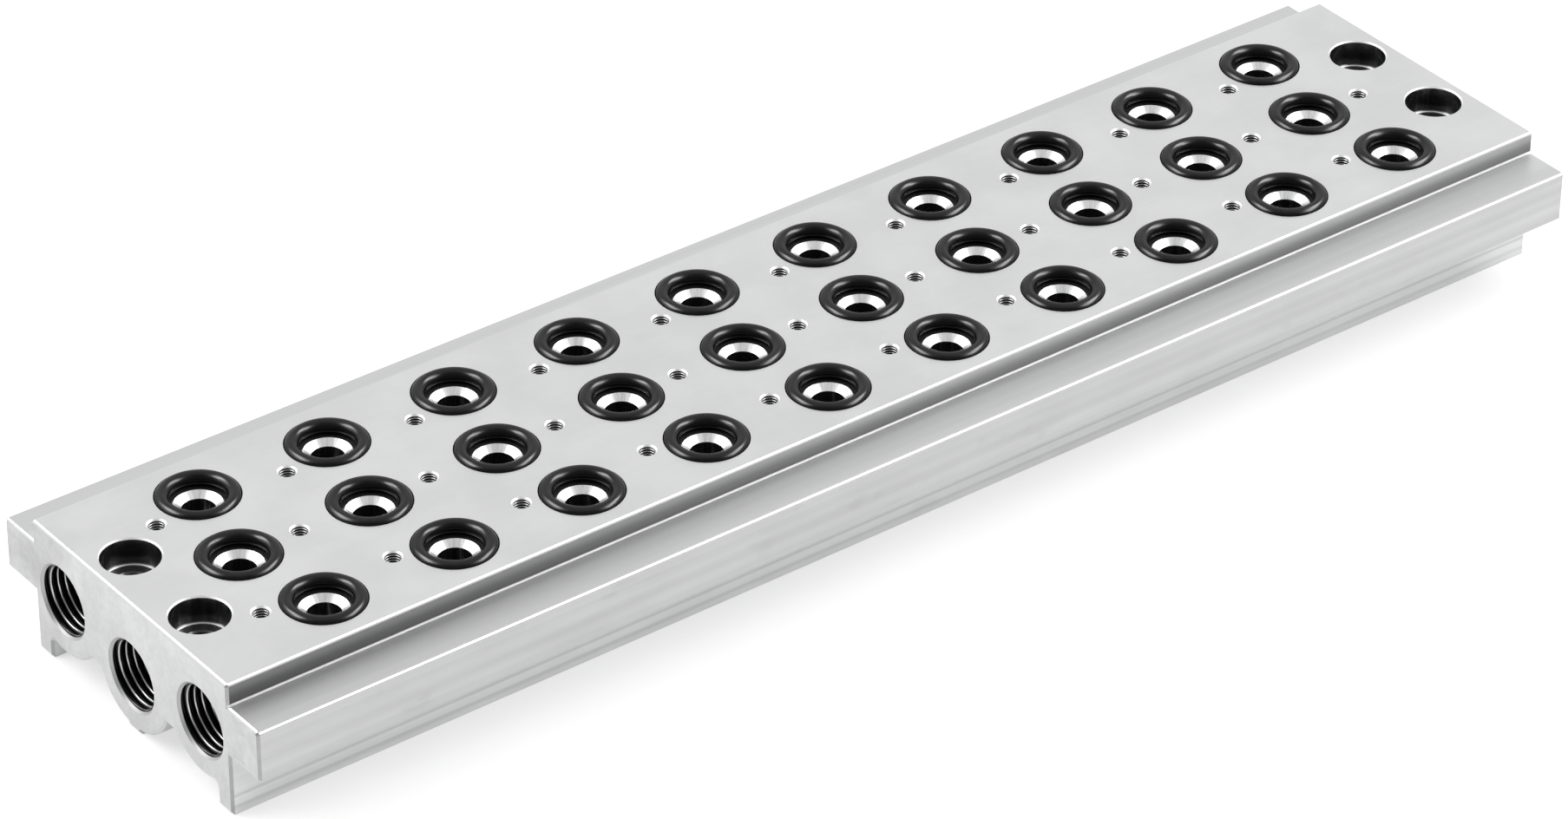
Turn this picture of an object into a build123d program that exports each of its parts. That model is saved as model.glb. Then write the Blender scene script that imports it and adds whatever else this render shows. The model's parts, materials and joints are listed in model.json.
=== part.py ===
from build123d import *
import os

os.makedirs("parts", exist_ok=True)

# Ten-station hydraulic manifold block: a drilled and milled aluminium extrusion
# with thirty sealed valve ports on top and three galleries along its length.
# Millimetres. X runs along the block, Y across it, Z up.
# The origin is the middle of the underside.

# Valve stations on the top face, and the bar length that they need
STATIONS = 10
STATION_PITCH = 25.0
FIRST_STATION_TO_END = 21.0
LAST_STATION_TO_END = 27.4
OUTER_PORT_LEAD = 4.0
OUTER_PORT_Y = 18.0
LENGTH = FIRST_STATION_TO_END + (STATIONS - 1) * STATION_PITCH + LAST_STATION_TO_END

# Extruded bar, seen along X
HEIGHT = 25.0
BODY_WIDTH = 56.5
FLANGE_WIDTH = 73.3
FLANGE_TOP = 20.8
FLANGE_BOTTOM = 11.2
FOOT_INNER_WIDTH = 48.4
WEB_BOTTOM = 7.0
BOSS_RADIUS = 10.05
PAD_WIDTH = 3.7
BOSS_FILLET = 1.0
FOOT_FILLET = 0.8

# Broken edges
TOP_CHAMFER = 0.4
FLANGE_TOP_CHAMFER = 0.5
FLANGE_BOTTOM_CHAMFER = 0.35
END_CHAMFER = 0.45
RELIEF_RADIUS = 0.35
RELIEF_INSET = 0.1
RELIEF_RISE = 0.15

# Galleries along the bar and their G1/4 ports in both ends
GALLERY_DIAMETER = 11.4
OUTER_GALLERY_Y = 20.0
OUTER_GALLERY_Z = 13.4
MIDDLE_GALLERY_Z = 10.4
END_PORT_DIAMETER = 13.16
END_PORT_DEPTH = 13.0
END_PORT_MOUTH_DIAMETER = 13.25

# One valve port: seal recess, cone and drilling down to the gallery
RECESS_DIAMETER = 14.4
RECESS_DEPTH = 1.8
CONE_MOUTH_DIAMETER = 8.3
CONE_DEPTH = 0.9
PORT_DIAMETER = 5.7

# O-ring lying in each seal recess
RING_SECTION = 2.5
RING_SIDE_CLEARANCE = 0.07
RING_SEAT_CLEARANCE = 0.01

# Tapped M3 holes that hold the valves
SCREW_DIAMETER = 3.0
SCREW_MOUTH_DIAMETER = 3.4
SCREW_DEPTH = 5.5
SCREW_POINT = 0.9
PAIR_SCREW_LEAD = -5.85
PAIR_SCREW_Y = 15.0
SINGLE_SCREW_LEAD = 11.5

# Counterbored holes that hold the block down
BOLT_TO_END = 7.1
BOLT_SPACING_Y = 20.0
BOLT_HOLE_DIAMETER = 5.5
BOLT_HOLE_CHAMFER = 0.3
COUNTERBORE_DIAMETER = 10.0
COUNTERBORE_DEPTH = 5.05
COUNTERBORE_CHAMFER = 0.25
COUNTERBORE_CORNER = 0.35

# How far cutting tools run past the faces that they open
OVERRUN = 1.0

# How near a corner lies to the place where it is looked for
NEAR = 0.01


def turned(points):
    """Solid of revolution about Z from (radius, height) points."""
    outline = Polyline(*[(radius, 0, z) for radius, z in points], close=True)
    return revolve(make_face(outline), Axis.Z)


def corners(section, width, low, high):
    """Corners at either side of a section of that width, between two heights."""
    found = []
    for corner in section.vertices():
        at_side = abs(abs(corner.X) - width / 2) < NEAR
        if at_side and low - NEAR < corner.Y < high + NEAR:
            found.append(corner)
    return found


def bar_section():
    """Cross-section of the extrusion: body, side flanges, feet, bosses, pad."""
    body = Pos(0, (HEIGHT + WEB_BOTTOM) / 2) * Rectangle(BODY_WIDTH, HEIGHT - WEB_BOTTOM)
    flange_middle = (FLANGE_TOP + FLANGE_BOTTOM) / 2
    flanges = Pos(0, flange_middle) * Rectangle(FLANGE_WIDTH, FLANGE_TOP - FLANGE_BOTTOM)
    envelope = Pos(0, HEIGHT / 2) * Rectangle(BODY_WIDTH, HEIGHT)
    inside_feet = Pos(0, HEIGHT / 2) * Rectangle(FOOT_INNER_WIDTH, HEIGHT)
    feet = envelope - inside_feet
    bosses = Pos(0, MIDDLE_GALLERY_Z) * Circle(BOSS_RADIUS)
    for side in (-1, 1):
        bosses += Pos(side * OUTER_GALLERY_Y, OUTER_GALLERY_Z) * Circle(BOSS_RADIUS)
    pad = Pos(0, MIDDLE_GALLERY_Z / 2) * Rectangle(PAD_WIDTH, MIDDLE_GALLERY_Z)
    section = body + flanges + feet + (bosses & envelope) + pad

    section = fillet(corners(section, FOOT_INNER_WIDTH, 2 * NEAR, WEB_BOTTOM), FOOT_FILLET)
    web_ends = [corner for corner in section.vertices() if abs(corner.Y - WEB_BOTTOM) < NEAR]
    section = fillet(web_ends, BOSS_FILLET)
    section = chamfer(corners(section, BODY_WIDTH, HEIGHT, HEIGHT), TOP_CHAMFER)
    section = chamfer(corners(section, FLANGE_WIDTH, FLANGE_TOP, FLANGE_TOP), FLANGE_TOP_CHAMFER)
    lower = corners(section, FLANGE_WIDTH, FLANGE_BOTTOM, FLANGE_BOTTOM)
    section = chamfer(lower, FLANGE_BOTTOM_CHAMFER)
    return section


def plain_bar():
    """The extrusion cut to length, with its end edges broken."""
    bar = extrude(Plane.YZ * bar_section(), LENGTH / 2, both=True)
    end_faces = bar.faces().sort_by(Axis.X)
    end_edges = end_faces[0].outer_wire().edges() + end_faces[-1].outer_wire().edges()
    bar = chamfer(end_edges, END_CHAMFER)
    relief = Rot(0, 90, 0) * Cylinder(RELIEF_RADIUS, LENGTH + 2 * OVERRUN)
    for side in (-1, 1):
        y = side * (BODY_WIDTH / 2 - RELIEF_INSET)
        bar -= Pos(0, y, FLANGE_TOP + RELIEF_RISE) * relief
    return bar


def valve_port_tool(down_to):
    """Cutter for one valve port, from above the top face into its gallery."""
    floor = HEIGHT - RECESS_DEPTH
    throat = floor - CONE_DEPTH
    return turned([
        (0, HEIGHT + OVERRUN),
        (RECESS_DIAMETER / 2, HEIGHT + OVERRUN),
        (RECESS_DIAMETER / 2, floor),
        (CONE_MOUTH_DIAMETER / 2, floor),
        (PORT_DIAMETER / 2, throat),
        (PORT_DIAMETER / 2, down_to),
        (0, down_to),
    ])


def screw_tool():
    """Cutter for one blind tapped hole with its countersunk mouth and drill point."""
    lead_in = (SCREW_MOUTH_DIAMETER - SCREW_DIAMETER) / 2
    return turned([
        (0, HEIGHT + OVERRUN),
        (SCREW_MOUTH_DIAMETER / 2 + OVERRUN, HEIGHT + OVERRUN),
        (SCREW_DIAMETER / 2, HEIGHT - lead_in),
        (SCREW_DIAMETER / 2, HEIGHT - SCREW_DEPTH),
        (0, HEIGHT - SCREW_DEPTH - SCREW_POINT),
    ])


def bolt_tool():
    """Cutter for one counterbored through hole."""
    floor = HEIGHT - COUNTERBORE_DEPTH
    mouth = COUNTERBORE_DIAMETER / 2 + COUNTERBORE_CHAMFER
    return turned([
        (0, HEIGHT + OVERRUN),
        (mouth + OVERRUN, HEIGHT + OVERRUN),
        (COUNTERBORE_DIAMETER / 2, HEIGHT - COUNTERBORE_CHAMFER),
        (COUNTERBORE_DIAMETER / 2, floor + COUNTERBORE_CORNER),
        (COUNTERBORE_DIAMETER / 2 - COUNTERBORE_CORNER, floor),
        (BOLT_HOLE_DIAMETER / 2 + BOLT_HOLE_CHAMFER, floor),
        (BOLT_HOLE_DIAMETER / 2, floor - BOLT_HOLE_CHAMFER),
        (BOLT_HOLE_DIAMETER / 2, -OVERRUN),
        (0, -OVERRUN),
    ])


def gallery_tool():
    """Cutter for one gallery, along Z and centred, with a port at each end."""
    half = LENGTH / 2
    gallery = GALLERY_DIAMETER / 2
    port = END_PORT_DIAMETER / 2
    mouth = END_PORT_MOUTH_DIAMETER / 2
    run_out = half - END_PORT_DEPTH - (port - gallery)
    return turned([
        (0, half + OVERRUN),
        (mouth + OVERRUN, half + OVERRUN),
        (port, half - (mouth - port)),
        (port, half - END_PORT_DEPTH),
        (gallery, run_out),
        (gallery, -run_out),
        (port, -half + END_PORT_DEPTH),
        (port, -half + (mouth - port)),
        (mouth + OVERRUN, -half - OVERRUN),
        (0, -half - OVERRUN),
    ])


def station_x(station, lead=0.0):
    """Place of a station's middle port along the block, moved on by a lead."""
    return -LENGTH / 2 + FIRST_STATION_TO_END + station * STATION_PITCH + lead


galleries = {
    "front": (-OUTER_GALLERY_Y, OUTER_GALLERY_Z),
    "middle": (0.0, MIDDLE_GALLERY_Z),
    "rear": (OUTER_GALLERY_Y, OUTER_GALLERY_Z),
}
port_rows = {
    "front": (OUTER_PORT_LEAD, -OUTER_PORT_Y),
    "middle": (0.0, 0.0),
    "rear": (OUTER_PORT_LEAD, OUTER_PORT_Y),
}
screw_places = [
    (PAIR_SCREW_LEAD, -PAIR_SCREW_Y),
    (PAIR_SCREW_LEAD, PAIR_SCREW_Y),
    (SINGLE_SCREW_LEAD, 0.0),
]

cutters = []
along_x = gallery_tool().rotate(Axis.Y, 90)
for y, z in galleries.values():
    cutters.append(Pos(0, y, z) * along_x)

for row, (lead, y) in port_rows.items():
    tool = valve_port_tool(galleries[row][1])
    for station in range(STATIONS):
        cutters.append(Pos(station_x(station, lead), y, 0) * tool)

tapped = screw_tool()
for lead, y in screw_places:
    for station in range(STATIONS):
        cutters.append(Pos(station_x(station, lead), y, 0) * tapped)

bolt = bolt_tool()
for x in (BOLT_TO_END - LENGTH / 2, LENGTH / 2 - BOLT_TO_END):
    for y in (-BOLT_SPACING_Y / 2, BOLT_SPACING_Y / 2):
        cutters.append(Pos(x, y, 0) * bolt)

manifold_block = plain_bar() - cutters
export_step(manifold_block, "parts/manifold_block.step")

# The seals: each lies on its recess floor and stands a little above the top face
ring_path_radius = (RECESS_DIAMETER - RING_SECTION) / 2 - RING_SIDE_CLEARANCE
ring_z = HEIGHT - RECESS_DEPTH + RING_SECTION / 2 + RING_SEAT_CLEARANCE
ring = Torus(ring_path_radius, RING_SECTION / 2)
for row, (lead, y) in port_rows.items():
    for station in range(STATIONS):
        seated = Pos(station_x(station, lead), y, ring_z) * ring
        export_step(seated, f"parts/o_ring_{row}_{station + 1:02d}.step")
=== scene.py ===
import json
import math

import bpy
from mathutils import Matrix, Vector


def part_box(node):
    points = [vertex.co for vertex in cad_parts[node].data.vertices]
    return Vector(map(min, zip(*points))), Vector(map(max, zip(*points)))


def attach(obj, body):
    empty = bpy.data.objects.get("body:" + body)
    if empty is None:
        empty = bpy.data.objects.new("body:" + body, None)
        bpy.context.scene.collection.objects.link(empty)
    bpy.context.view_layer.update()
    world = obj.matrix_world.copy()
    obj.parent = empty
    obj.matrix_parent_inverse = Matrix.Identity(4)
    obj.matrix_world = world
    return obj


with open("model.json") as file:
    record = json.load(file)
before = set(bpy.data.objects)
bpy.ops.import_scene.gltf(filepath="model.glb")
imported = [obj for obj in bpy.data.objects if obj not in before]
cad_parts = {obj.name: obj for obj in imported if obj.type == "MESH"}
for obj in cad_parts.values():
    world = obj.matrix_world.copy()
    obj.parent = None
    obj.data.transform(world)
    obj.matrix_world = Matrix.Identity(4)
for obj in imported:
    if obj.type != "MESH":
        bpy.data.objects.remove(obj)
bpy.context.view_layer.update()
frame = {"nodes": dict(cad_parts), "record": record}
nodes = frame["nodes"]
record = frame["record"]

MM = 0.001
BODY = "root"

# ---------------------------------------------------------------- sizes, in metres
block_low, block_high = (Vector(corner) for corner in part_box("manifold_block"))
HALF_LENGTH = block_high.x
TOP = block_high.z
FLANGE_HALF_WIDTH = block_high.y
BODY_HALF_WIDTH = 28.25 * MM
FLANGE_TOP = 20.8 * MM
FLANGE_BOTTOM = 11.2 * MM

STATIONS = 10
HALF_STATION_PITCH = 12.5 * MM
OUTER_PORT_LEAD = 4.0 * MM
HALF_ROW_SPACING = 9.0 * MM
LOWEST_DRILLING = 10.0 * MM

# where a station's screws stand from its middle port, along and across the block
SCREW_PLACES = {
    "front": (-5.85 * MM, -15.0 * MM),
    "rear": (-5.85 * MM, 15.0 * MM),
    "middle": (11.5 * MM, 0.0),
}

end_ports = [mount for mount in record["mounts"] if mount["name"].startswith("end_port")]
rings = [node for name, node in nodes.items() if name.startswith("o_ring")]


def ring_centre(name):
    """Middle of a seal, from its CAD box."""
    low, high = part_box(name)
    return (Vector(low) + Vector(high)) / 2


FIRST_STATION = ring_centre("o_ring_middle_01").x

# ---------------------------------------------------------------- looks
# A unit normal's parts on a 45 degree chamfer: lowest, highest, softness
CHAMFER_SLOPE = (0.66, 0.75, 0.02)
# and its upward part on the cone of a valve port, which is a little flatter
CONE_SLOPE = (0.78, 0.86, 0.01)

# The crest of the flange's chamfer, spared the painted shade on the rest of it, and the
# groove where body and flange meet, sideways and upwards: lowest, highest, softness
FLANGE_CREST = (20.44 * MM, 20.64 * MM, 0.06 * MM)
GROOVE_SIDE = (27.6 * MM, 28.56 * MM, 0.02 * MM)
GROOVE_HEIGHT = (20.5 * MM, 21.26 * MM, 0.02 * MM)

# Darker bands along the skirt: lowest, highest, softness and how much darker
SKIRT_BANDS = (
    (3.3 * MM, 3.7 * MM, 0.35 * MM, 0.28),
    (1.1 * MM, 1.8 * MM, 0.2 * MM, 0.13),
)

# Along the block, the painted shade of body walls and flange tops changes from here to there
SHADE_FROM = -0.14
SHADE_TO = 0.02

# Noise makes its difference between these two values
NOISE_LOW = 0.3
NOISE_HIGH = 0.7

# How fine the streaks round a valve port are, and how they differ from port to port
STREAKS = 14.0
STREAKS_DIFFER = 40.0


# ---------------------------------------------------------------- node tools
class Nodes:
    """Short names for building a node tree."""

    def __init__(self, tree):
        self.tree = tree

    def node(self, kind, **settings):
        made = self.tree.nodes.new(kind)
        for name, value in settings.items():
            setattr(made, name, value)
        return made

    def feed(self, socket, value):
        """Joins a socket to another, or sets it."""
        if isinstance(value, bpy.types.NodeSocket):
            self.tree.links.new(value, socket)
        else:
            socket.default_value = value

    def feed_all(self, made, values):
        """Feeds a node's sockets in their order."""
        for socket, value in zip(made.inputs, values):
            self.feed(socket, value)

    def math(self, operation, a, b=0.0, c=0.0):
        made = self.node("ShaderNodeMath", operation=operation)
        self.feed_all(made, (a, b, c))
        return made.outputs[0]

    def total(self, first, *others):
        for other in others:
            first = self.math("ADD", first, other)
        return first

    def product(self, first, *others):
        """Product of numbers. For masks, the places that lie in all of them."""
        for other in others:
            first = self.math("MULTIPLY", first, other)
        return first

    def less(self, value, share):
        return self.math("SUBTRACT", value, share)

    def hypotenuse(self, a, b):
        return self.math("SQRT", self.total(self.product(a, a), self.product(b, b)))

    def axes(self, vector):
        made = self.node("ShaderNodeSeparateXYZ")
        self.feed(made.inputs[0], vector)
        return made.outputs[0], made.outputs[1], made.outputs[2]

    def joined(self, x, y, z):
        made = self.node("ShaderNodeCombineXYZ")
        self.feed_all(made, (x, y, z))
        return made.outputs[0]

    def ramp(self, value, low, high, at_low=0.0, at_high=1.0):
        """Goes smoothly from one value to another as the input goes from low to high."""
        made = self.node("ShaderNodeMapRange", interpolation_type="SMOOTHSTEP")
        self.feed_all(made, (value, low, high, at_low, at_high))
        return made.outputs[0]

    def fall(self, value, low, high):
        """1 up to low, 0 from high on."""
        return self.ramp(value, low, high, 1.0, 0.0)

    def between(self, value, low, high, soft):
        rising = self.ramp(value, low - soft, low + soft)
        return self.product(rising, self.fall(value, high - soft, high + soft))

    def over(self, mask, value, otherwise):
        """One number where the mask is 1, another where it is 0."""
        made = self.node("ShaderNodeMix", data_type="FLOAT")
        self.feed(made.inputs[0], mask)
        self.feed(made.inputs[2], otherwise)
        self.feed(made.inputs[3], value)
        return made.outputs[0]

    def layered(self, base, layers):
        """Lays (mask, value) layers on a base, the last on top."""
        for mask, value in layers:
            base = self.over(mask, value, base)
        return base


class Shader(Nodes):
    """One material with a Principled surface."""

    def __init__(self, name):
        self.material = bpy.data.materials.new(name)
        self.material.use_nodes = True
        super().__init__(self.material.node_tree)
        self.surface = self.tree.nodes["Principled BSDF"]
        self.place = self.node("ShaderNodeTexCoord").outputs["Object"]
        self.normal = self.node("ShaderNodeNewGeometry").outputs["Normal"]

    def give(self, name, value):
        """Feeds one of the surface's sockets."""
        self.feed(self.surface.inputs[name], value)

    def noise_at(self, vector, scale, detail, roughness=0.5):
        made = self.node("ShaderNodeTexNoise")
        self.feed(made.inputs["Vector"], vector)
        made.inputs["Scale"].default_value = scale
        made.inputs["Detail"].default_value = detail
        made.inputs["Roughness"].default_value = roughness
        return made.outputs["Fac"]

    def noise(self, scale, detail=2.0, roughness=0.5):
        """Noise from 0 to 1, with that many cells a metre along each axis."""
        stretched = self.node("ShaderNodeMapping")
        self.feed(stretched.inputs["Vector"], self.place)
        stretched.inputs["Scale"].default_value = scale
        return self.noise_at(stretched.outputs[0], 1.0, detail, roughness)

    def spread(self, noise, low, high):
        """Turns noise into numbers between two values."""
        return self.ramp(noise, NOISE_LOW, NOISE_HIGH, low, high)

    def grey(self, value, tint=(1.0, 1.0, 1.0)):
        """A colour from one brightness, a little warmer or cooler by its tint."""
        made = self.node("ShaderNodeCombineColor")
        self.feed_all(made, [self.product(value, share) for share in tint])
        return made.outputs[0]

    def bump(self, height, distance, strength):
        made = self.node("ShaderNodeBump")
        self.feed(made.inputs["Height"], height)
        made.inputs["Distance"].default_value = distance
        made.inputs["Strength"].default_value = strength
        self.give("Normal", made.outputs[0])


# ---------------------------------------------------------------- materials
class Aluminium(Shader):
    """The block's metal, with a zone for each kind of face.

    The brightness of the zones, and their ramps along and up the block, are fitted to
    one photograph. They stand in for its surroundings, and aren't a measured finish.
    """

    def __init__(self):
        super().__init__("satin_aluminium")
        self.x, self.y, self.z = self.axes(self.place)
        slope_x, slope_y, self.up = self.axes(self.normal)
        self.side = self.math("ABSOLUTE", self.y)
        self.along = self.math("ABSOLUTE", self.x)
        self.side_slope = self.math("ABSOLUTE", slope_y)
        self.end_slope = self.math("ABSOLUTE", slope_x)
        self.find_faces()
        self.find_drillings()
        self.find_edges()
        self.make_marks()

        shade = self.shade()
        shade = self.less(shade, self.product(shade, self.wear()))
        self.give("Base Color", self.grey(shade, (0.995, 1.0, 1.0)))
        self.give("Roughness", self.roughness())
        self.give("Metallic", 0.92)
        relief = self.layered(self.fine, (
            (self.top, self.milled_lines),
            (self.shelf, self.drawn_lines),
            (self.drawn, self.drawn_lines),
        ))
        self.bump(relief, 0.02 * MM, 0.35)

    def find_faces(self):
        """Milled top and body walls, drawn sides with the skirt, flange tops, cut ends."""
        faces_up = self.ramp(self.up, 0.8, 0.9)
        faces_side = self.ramp(self.side_slope, 0.8, 0.9)
        faces_end = self.ramp(self.end_slope, 0.8, 0.9)
        at_end = self.ramp(self.along, HALF_LENGTH - 0.6 * MM, HALF_LENGTH - 0.5 * MM)
        above_flange = self.ramp(self.z, FLANGE_TOP - 0.2 * MM, FLANGE_TOP)
        below_flange = self.fall(self.z, FLANGE_BOTTOM - 0.2 * MM, FLANGE_BOTTOM)
        at_flange_top = self.between(self.z, FLANGE_TOP, FLANGE_TOP, 0.5 * MM)
        self.at_skin = self.ramp(
            self.side, BODY_HALF_WIDTH - 0.6 * MM, BODY_HALF_WIDTH - 0.4 * MM)
        self.top = self.product(faces_up, self.ramp(self.z, TOP - 0.3 * MM, TOP - 0.2 * MM))
        self.wall = self.product(faces_side, self.at_skin, above_flange)
        self.drawn = self.product(faces_side, self.at_skin, self.less(1.0, above_flange))
        self.skirt = self.product(faces_side, self.at_skin, below_flange)
        self.shelf = self.product(faces_up, self.at_skin, at_flange_top)
        self.end = self.product(faces_end, at_end)
        # Faces that look down are painted a little lighter, a painted light
        self.underside_painted_light = self.fall(self.up, -0.3, -0.1)

    def find_drillings(self):
        """Walls, floors and cones of what is drilled into the top."""
        inside = self.product(
            self.fall(self.side, BODY_HALF_WIDTH - 1.2 * MM, BODY_HALF_WIDTH - 1.0 * MM),
            self.fall(self.along, HALF_LENGTH - 0.5 * MM, HALF_LENGTH - 0.4 * MM),
            self.fall(self.z, TOP - 0.5 * MM, TOP - 0.3 * MM),
        )
        high_up = self.ramp(self.z, LOWEST_DRILLING, LOWEST_DRILLING + 1.0 * MM)
        self.drilling = self.product(inside, high_up)
        # Painted shade: the walls and floors of what is drilled into the top are painted dark
        self.bore_wall_painted_shade = self.product(self.drilling, self.fall(self.up, 0.3, 0.4))
        self.bore_floor_painted_shade = self.product(self.drilling, self.ramp(self.up, 0.90, 0.95))
        self.cone = self.product(self.drilling, self.between(self.up, *CONE_SLOPE))

    def find_edges(self):
        """Broken edges. Each long one is painted darker away from its crest, a painted shade
        that leaves a thin bright line.
        """
        self.cut_edge = self.between(self.up, *CHAMFER_SLOPE)
        on_end_slope = self.between(self.end_slope, *CHAMFER_SLOPE)
        # Painted shade: the upright chamfers at the block's corners are painted dark
        self.corner_chamfer_painted_shade = self.product(
            on_end_slope, self.between(self.side_slope, *CHAMFER_SLOPE))

        at_top = self.ramp(self.z, TOP - 0.45 * MM, TOP - 0.40 * MM)
        top_edge = self.product(
            self.cut_edge, self.ramp(self.side, 27.6 * MM, 27.8 * MM), at_top)
        flange_edge = self.product(self.cut_edge, self.ramp(
            self.side, FLANGE_HALF_WIDTH - 0.6 * MM, FLANGE_HALF_WIDTH - 0.5 * MM))
        off_flange_crest = self.less(1.0, self.between(self.z, *FLANGE_CREST))
        # Painted shade on the long edges away from their crests, and on the outer part of the
        # end edges
        painted_long_edges = self.total(
            self.product(top_edge, self.fall(self.z, TOP - 0.26 * MM, TOP - 0.16 * MM)),
            self.product(flange_edge, off_flange_crest),
        )
        painted_end_edges = self.product(self.cut_edge, on_end_slope, self.ramp(
            self.along, HALF_LENGTH - 0.28 * MM, HALF_LENGTH - 0.18 * MM))
        self.painted_edge_shade = self.math("MAXIMUM", painted_long_edges, painted_end_edges)

        # Painted highlight: the mouth chamfers of what is drilled into the top are painted
        # near white
        self.mouth_painted_highlight = self.product(
            self.cut_edge,
            at_top,
            self.fall(self.side, 24.0 * MM, 25.0 * MM),
            self.fall(self.along, HALF_LENGTH - 1.5 * MM, HALF_LENGTH - 1.0 * MM),
        )
        # Painted highlight in the groove where body and flange meet
        self.groove_painted_highlight = self.product(
            self.between(self.side, *GROOVE_SIDE),
            self.between(self.z, *GROOVE_HEIGHT),
            self.fall(self.end_slope, 0.5, 0.6),
            self.fall(self.math("MAXIMUM", self.up, self.side_slope), 0.992, 0.998),
        )
        # the broken corner round a counterbore's floor: painted shade, and a painted
        # highlight in a line along its middle
        self.bore_corner_painted_shade = self.product(self.drilling, self.cut_edge)
        self.bore_corner_painted_highlight = self.product(
            self.bore_corner_painted_shade,
            self.ramp(self.z, TOP - 5.02 * MM, TOP - 4.98 * MM),
            self.fall(self.z, TOP - 4.88 * MM, TOP - 4.82 * MM),
        )

    def make_marks(self):
        """Noise in the sizes and directions of the marks that tools leave."""
        self.haze = self.noise((22, 22, 22))
        self.mottle = self.noise((90, 90, 90), detail=3.0)
        self.fine = self.noise((900, 900, 900))
        self.milled_lines = self.noise((60, 1500, 60))
        self.drawn_lines = self.noise((3, 400, 700), detail=3.0, roughness=0.6)
        self.broad_lines = self.noise((1.5, 120, 260), detail=1.0)
        self.streaks = self.radial_streaks()

    def radial_streaks(self):
        """Marks that run out from the middle of each valve port."""
        outer_row = self.ramp(
            self.side, HALF_ROW_SPACING - 0.1 * MM, HALF_ROW_SPACING + 0.1 * MM)
        port_x = self.less(self.x, self.product(outer_row, OUTER_PORT_LEAD))
        port_x = self.math(
            "WRAP", self.less(port_x, FIRST_STATION), HALF_STATION_PITCH, -HALF_STATION_PITCH)
        port_y = self.math("WRAP", self.y, HALF_ROW_SPACING, -HALF_ROW_SPACING)
        reach = self.hypotenuse(port_x, port_y)
        around_port = self.joined(
            self.math("DIVIDE", port_x, reach),
            self.math("DIVIDE", port_y, reach),
            self.product(self.x, STREAKS_DIFFER),
        )
        return self.noise_at(around_port, STREAKS, 3.0)

    def streaked(self, low, high):
        return self.ramp(self.streaks, 0.35, 0.65, low, high)

    # A painted shade that lightens along the block away from its near end
    def along_block(self, at_near_end, further_on):
        return self.ramp(self.x, SHADE_FROM, SHADE_TO, at_near_end, further_on)

    def top_shade(self):
        return self.total(
            self.spread(self.haze, 0.715, 0.735), self.spread(self.mottle, 0.0, 0.05))

    def end_mottle_painted_shade(self):
        # Painted shade on the upper rear corner of each end
        upper_rear_painted_shade = self.product(
            self.ramp(self.y, 14.0 * MM, 24.0 * MM), self.ramp(self.z, 10.0 * MM, 16.0 * MM))
        return self.total(
            self.less(self.spread(self.haze, 0.65, 0.76), self.product(0.12, upper_rear_painted_shade)),
            self.spread(self.noise((260, 260, 160), detail=4.0), -0.035, 0.035),
            self.spread(self.fine, -0.02, 0.02),
        )

    def wall_painted_shade(self):
        # Painted shade: darker towards the root of the wall, and towards the near end
        up_wall = self.total(
            self.ramp(self.z, 20.8 * MM, 22.8 * MM, 0.13, 0.20),
            self.ramp(self.z, 22.4 * MM, 24.6 * MM, 0.0, 0.19),
        )
        return self.product(up_wall, self.along_block(0.64, 1.0))

    def skirt_bands_painted_light(self):
        # Darker bands along the skirt, and a little darker at its very bottom
        lines = 1.0
        for low, high, soft, darker in SKIRT_BANDS:
            line = self.between(self.z, low, high, soft)
            lines = self.less(lines, self.product(darker, line))
        lines = self.less(lines, self.ramp(self.z, 0.9 * MM, 1.2 * MM, 0.03, 0.0))
        # Painted light: the skirt is painted brighter below about 5 mm
        return self.product(self.ramp(self.z, 4.6 * MM, 5.4 * MM, 0.84, 0.76), lines)

    def shelf_lines_painted_light(self):
        # Painted light and shade: brighter by the root of the body wall and towards the far
        # end, darker on the rear half, over random broad lines
        return self.product(
            self.along_block(0.86, 1.03),
            self.ramp(self.side, 28.3 * MM, 34.0 * MM, 1.50, 0.97),
            self.ramp(self.y, -1.0 * MM, 1.0 * MM, 1.0, 0.90),
            self.spread(self.broad_lines, 0.62, 0.66),
        )

    # Base colour by zone: tones of the metal, and painted shade and painted highlights where
    # so named
    def shade(self):
        return self.layered(0.70, (
            (self.top, self.top_shade()),
            (self.end, self.end_mottle_painted_shade()),
            (self.wall, self.wall_painted_shade()),
            (self.drawn, self.spread(self.broad_lines, 0.58, 0.64)),
            (self.skirt, self.skirt_bands_painted_light()),
            (self.shelf, self.shelf_lines_painted_light()),
            (self.cut_edge, 0.86),
            (self.corner_chamfer_painted_shade, 0.42),
            (self.cone, self.streaked(0.80, 0.93)),
            (self.bore_floor_painted_shade, 0.30),
            (self.mouth_painted_highlight, 0.95),
            (self.groove_painted_highlight, 0.95),
            (self.painted_edge_shade, 0.60),
            (self.bore_corner_painted_shade, 0.14),
            (self.bore_corner_painted_highlight, 0.95),
            (self.bore_wall_painted_shade, self.streaked(0.10, 0.19)),
            (self.underside_painted_light, 0.72),
        ))

    def wear(self):
        """Share of its brightness that the metal loses to scuffs, drawing and milling."""
        scuffs = self.ramp(self.noise((120, 120, 260), detail=3.0), 0.60, 0.74)
        brushed = self.ramp(self.drawn_lines, 0.25, 0.75, 0.05, -0.05)
        cloudy = self.spread(self.noise((60, 160, 160), detail=3.0), 0.03, -0.03)
        grain = self.spread(self.milled_lines, 0.006, -0.006)
        return self.total(
            self.product(0.06, scuffs, self.drawn),
            self.product(self.at_skin, brushed),
            self.product(self.drawn, cloudy),
            self.product(self.top, grain),
        )

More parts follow.
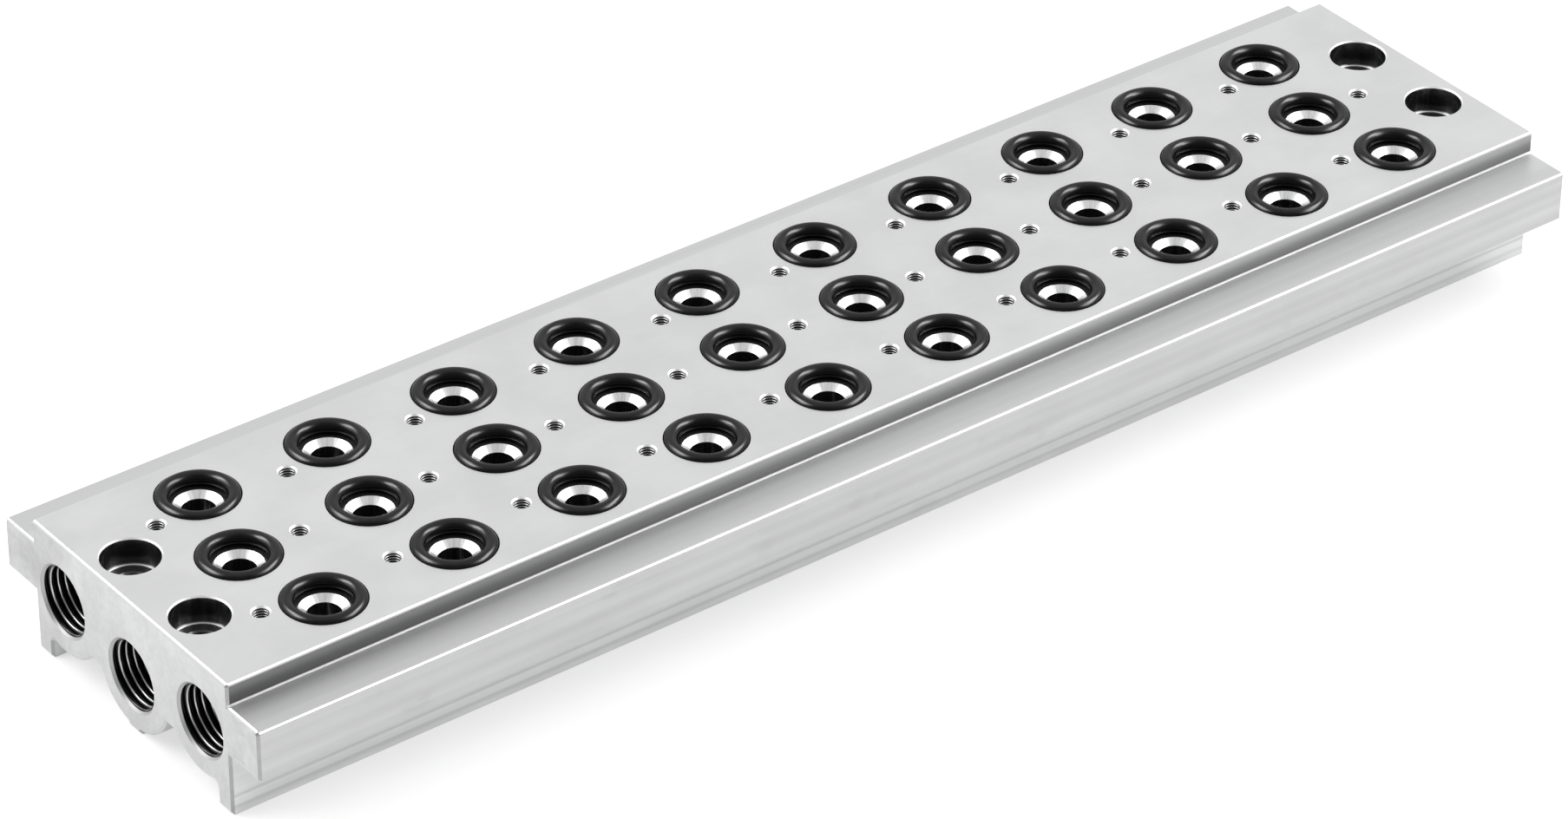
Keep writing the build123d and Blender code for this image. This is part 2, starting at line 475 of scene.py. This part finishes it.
    def roughness(self):
        return self.layered(0.38, (
            (self.wall, 0.30),
            (self.end, 0.42),
            (self.top, 0.30),
            (self.shelf, self.ramp(self.side, 29.0 * MM, 33.0 * MM, 0.62, 0.42)),
            (self.cut_edge, 0.11),
            (self.drilling, 0.22),
            (self.cone, self.streaked(0.24, 0.32)),
            (self.mouth_painted_highlight, 0.55),
            (self.groove_painted_highlight, 0.45),
            (self.painted_edge_shade, 0.66),
            (self.bore_corner_painted_highlight, 0.45),
        ))


def thread_material(name, crest, root, mouth_depth, mouth_painted_brightness):
    """Tapped aluminium: the mouth painted at its own brightness, bright crests, and painted
    shade in the roots, nearly black.
    """
    s = Shader(name)
    x, y, z = s.axes(s.place)
    mouth = s.ramp(z, -mouth_depth, -0.8 * mouth_depth)
    # Painted shade: the wall darkens from its crests to nearly black in its roots
    wall_painted_shade = s.ramp(s.hypotenuse(x, y), crest, root, 0.70, 0.02)
    s.give("Base Color", s.grey(s.over(mouth, mouth_painted_brightness, wall_painted_shade)))
    s.give("Metallic", 0.9)
    s.give("Roughness", s.over(mouth, 0.50, 0.22))
    s.bump(s.noise((2500, 2500, 2500)), 0.01 * MM, 0.3)
    return s.material


def rubber_material():
    """Moulded black rubber, darker and less reflective than nitrile to fit the photograph."""
    s = Shader("black_rubber")
    mottle = s.noise((400, 400, 400))
    s.give("Base Color", s.grey(s.spread(mottle, 0.004, 0.006)))
    s.give("Roughness", s.spread(mottle, 0.21, 0.26))
    s.give("IOR", 1.35)
    s.bump(s.noise((1200, 1200, 1200), detail=1.0), 0.01 * MM, 0.12)
    return s.material


def floor_material():
    """Pale paper that glows for the camera and, less, in gloss, and keeps the shadow."""
    s = Shader("white_floor")
    s.give("Base Color", (0.70, 0.70, 0.70, 1))
    s.give("Roughness", 0.9)
    s.give("Emission Color", (1, 1, 1, 1))
    path = s.node("ShaderNodeLightPath")
    to_camera = s.product(path.outputs["Is Camera Ray"], 0.50)
    to_gloss = s.product(path.outputs["Is Glossy Ray"], 0.35)
    s.give("Emission Strength", s.math("MAXIMUM", to_camera, to_gloss))
    return s.material


# ---------------------------------------------------------------- threads
# On the way from a thread's root at 0 to its crest at 1: where the crest begins, and
# how much of the way its flank takes
CREST_FROM = 0.90
FLANK = 0.76
# Part of a pitch over which a thread grows to its full height at the mouth
GROWS_OVER = 0.3


def clamped(value):
    return min(1.0, max(0.0, value))


def thread_mesh(
    name, major, minor, pitch, start, length, mouth, lead_in, first_crest, around, steps
):
    """Wall of a tapped hole along its own -Z from the mouth at z = 0.

    The wall is a right-hand helix between the minor and major radii, cut back at the
    mouth by a 45 degree countersink and running out at its deep end. It has that many
    points around, and that many steps to a pitch.
    """
    rows = int(round((length - start) / pitch * steps)) + 1
    points = []
    for row in range(rows):
        depth = start + (length - start) * row / (rows - 1)
        fade = clamped((length - pitch - depth) / pitch)
        fade *= clamped((depth - lead_in) / (GROWS_OVER * pitch))
        for spoke in range(around):
            angle = 2 * math.pi * spoke / around
            turn = (depth - first_crest) / pitch - spoke / around
            from_root = 2 * abs(turn - math.floor(turn) - 0.5)
            valley = clamped((CREST_FROM - from_root) / FLANK) * fade
            radius = max(minor + (major - minor) * valley, mouth - depth)
            points.append((radius * math.cos(angle), radius * math.sin(angle), -depth))
    faces = []
    for row in range(rows - 1):
        for spoke in range(around):
            a = row * around + spoke
            b = row * around + (spoke + 1) % around
            faces.append((a, b, b + around, a + around))
    mesh = bpy.data.meshes.new(name)
    mesh.from_pydata(points, [], faces)
    mesh.validate()
    for polygon in mesh.polygons:
        polygon.use_smooth = True
    return mesh


def put_thread(name, mesh, mouth_at, outward):
    """One threaded wall, its mouth at a point and its axis along an outward direction."""
    thread = bpy.data.objects.new(name, mesh)
    bpy.context.collection.objects.link(thread)
    turn = Vector((0, 0, 1)).rotation_difference(Vector(outward)).to_matrix().to_4x4()
    thread.matrix_world = Matrix.Translation(mouth_at) @ turn
    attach(thread, BODY)


def add_end_threads():
    """G1/4 threads in the six end ports."""
    mesh = thread_mesh(
        "g_quarter_thread", major=6.56 * MM, minor=5.74 * MM, pitch=1.337 * MM,
        start=0.06 * MM, length=12.9 * MM, mouth=6.625 * MM, lead_in=0.3 * MM,
        first_crest=1.24 * MM, around=96, steps=14,
    )
    # The port's mouth is painted grey, a painted shade
    mesh.materials.append(thread_material(
        "tapped_port", crest=5.80 * MM, root=6.05 * MM, mouth_depth=0.50 * MM,
        mouth_painted_brightness=0.56,
    ))
    for mount in end_ports:
        outward = Vector(mount["axis"])
        at = Vector(mount["pos_m"])
        at.x = HALF_LENGTH * outward.x
        put_thread(mount["name"] + "_thread", mesh, at, outward)


def add_screw_threads():
    """M3 threads in the valve screw holes."""
    mesh = thread_mesh(
        "m3_thread", major=1.49 * MM, minor=1.23 * MM, pitch=0.5 * MM,
        start=0.21 * MM, length=5.45 * MM, mouth=1.7 * MM, lead_in=0.25 * MM,
        first_crest=0.6 * MM, around=36, steps=9,
    )
    # The hole's mouth is painted near white, a painted highlight
    mesh.materials.append(thread_material(
        "tapped_screw_hole", crest=1.26 * MM, root=1.36 * MM, mouth_depth=0.4 * MM,
        mouth_painted_brightness=0.95,
    ))
    for number in range(1, STATIONS + 1):
        middle = ring_centre(f"o_ring_middle_{number:02d}")
        for label, (dx, dy) in SCREW_PLACES.items():
            at = Vector((middle.x + dx, middle.y + dy, TOP))
            put_thread(f"screw_thread_{label}_{number:02d}", mesh, at, (0, 0, 1))


# ---------------------------------------------------------------- studio
# The room's brightness: most of it, its darkest side, and how much of that is left at
# the foot of its walls
ROOM = 0.88
ROOM_DARK = 0.22
LOW_WALLS = 0.45
# The middle of the dark side, which is about where the photograph's camera stands
DARK_AZIMUTH = -38.0
DARK_ELEVATION = 20.0
# Cosine of the angle from there at which the darkening starts, and is complete
DARKENS_FROM = 0.2
DARK_FROM = 0.9
# Height, as the sine of the elevation, from which the walls have their full brightness
WALLS_FULL_FROM = 0.42

FLOOR_REACH = 6.0

CAMERA_AT = (-0.55826, -0.71413, 0.61072)
CAMERA_AZIMUTH = -37.667
CAMERA_LOOKS_DOWN = 33.70
CAMERA_ROLL = 0.402
LENS = 148.08
SENSOR_WIDTH = 36.0
CLIP_END = 50.0


def dress_cad():
    """Gives the carried-over CAD nodes their materials."""
    nodes["manifold_block"].material_slots[0].material = Aluminium().material
    rubber = rubber_material()
    for ring in rings:
        ring.material_slots[0].material = rubber


def add_floor():
    """A wide pale sheet under the block."""
    mesh = bpy.data.meshes.new("floor")
    corners = [
        (x * FLOOR_REACH, y * FLOOR_REACH, 0)
        for x, y in ((-1, -1), (1, -1), (1, 1), (-1, 1))
    ]
    mesh.from_pydata(corners, [], [(0, 1, 2, 3)])
    mesh.materials.append(floor_material())
    floor = bpy.data.objects.new("floor", mesh)
    bpy.context.collection.objects.link(floor)
    floor.location.z = block_low.z


def direction(azimuth, elevation):
    """Unit vector: azimuth 0 is -Y, towards the front, and grows towards +X."""
    a, e = math.radians(azimuth), math.radians(elevation)
    return Vector((math.cos(e) * math.sin(a), -math.cos(e) * math.cos(a), math.sin(e)))


def add_softbox(name, azimuth, elevation, distance, size, radiance, gloss_on=None):
    """A rectangular lamp that faces the block, with a given brightness of its surface.

    With gloss_on, it lights that collection alone, and not its diffuse colour.
    """
    width, height = size
    data = bpy.data.lights.new(name, "AREA")
    data.shape = "RECTANGLE"
    data.size = width
    data.size_y = height
    data.energy = radiance * width * height * math.pi
    lamp = bpy.data.objects.new(name, data)
    bpy.context.collection.objects.link(lamp)
    away = direction(azimuth, elevation)
    lamp.location = away * distance
    lamp.rotation_euler = away.to_track_quat("Z", "Y").to_euler()
    if gloss_on is not None:
        lamp.light_linking.receiver_collection = gloss_on
        lamp.visible_diffuse = False


def add_lights():
    """Two broad lamps for everything, and two smaller ones that only the seals reflect.

    The smaller ones are about five times brighter, for highlights as in the photograph.
    """
    seals = bpy.data.collections.new("seals")
    for ring in rings:
        seals.objects.link(ring)
    add_softbox("side_left", 224.0, 42.0, 1.40, (1.15, 0.92), 2.7)
    add_softbox("side_right", 65.0, 46.0, 1.20, (1.27, 0.56), 3.0)
    add_softbox("gloss_left", 227.0, 48.0, 1.38, (0.86, 0.42), 15.0, gloss_on=seals)
    add_softbox("gloss_right", 68.0, 46.0, 1.18, (0.96, 0.36), 14.0, gloss_on=seals)


def add_world():
    """A room that is bright behind the block, and dark on the camera's side and low down.

    The camera itself sees it white.
    """
    world = bpy.data.worlds.new("studio")
    bpy.context.scene.world = world
    world.use_nodes = True
    w = Nodes(world.node_tree)
    background = w.tree.nodes["Background"]
    w.feed(background.inputs["Color"], (1, 1, 1, 1))

    place = w.node("ShaderNodeTexCoord").outputs["Generated"]
    towards = w.node("ShaderNodeVectorMath", operation="DOT_PRODUCT")
    w.feed(towards.inputs[0], place)
    w.feed(towards.inputs[1], direction(DARK_AZIMUTH, DARK_ELEVATION))
    shade = w.ramp(towards.outputs["Value"], DARKENS_FROM, DARK_FROM, ROOM, ROOM_DARK)
    rise = w.ramp(w.axes(place)[2], 0.0, WALLS_FULL_FROM, LOW_WALLS, 1.0)
    camera_ray = w.node("ShaderNodeLightPath").outputs["Is Camera Ray"]
    w.feed(background.inputs["Strength"], w.over(camera_ray, 1.0, w.product(shade, rise)))


def add_camera():
    """Long lens from the front left, above."""
    data = bpy.data.cameras.new("camera")
    data.lens = LENS
    data.sensor_width = SENSOR_WIDTH
    data.clip_end = CLIP_END
    camera = bpy.data.objects.new("camera", data)
    bpy.context.collection.objects.link(camera)
    turn = Matrix.Rotation(math.radians(CAMERA_AZIMUTH), 4, "Z")
    tilt = Matrix.Rotation(math.radians(90.0 - CAMERA_LOOKS_DOWN), 4, "X")
    roll = Matrix.Rotation(math.radians(CAMERA_ROLL), 4, "Z")
    camera.matrix_world = Matrix.Translation(Vector(CAMERA_AT)) @ turn @ tilt @ roll
    bpy.context.scene.camera = camera


dress_cad()
add_end_threads()
add_screw_threads()
add_floor()
add_world()
add_lights()
add_camera()
bpy.context.scene.view_settings.view_transform = "Standard"
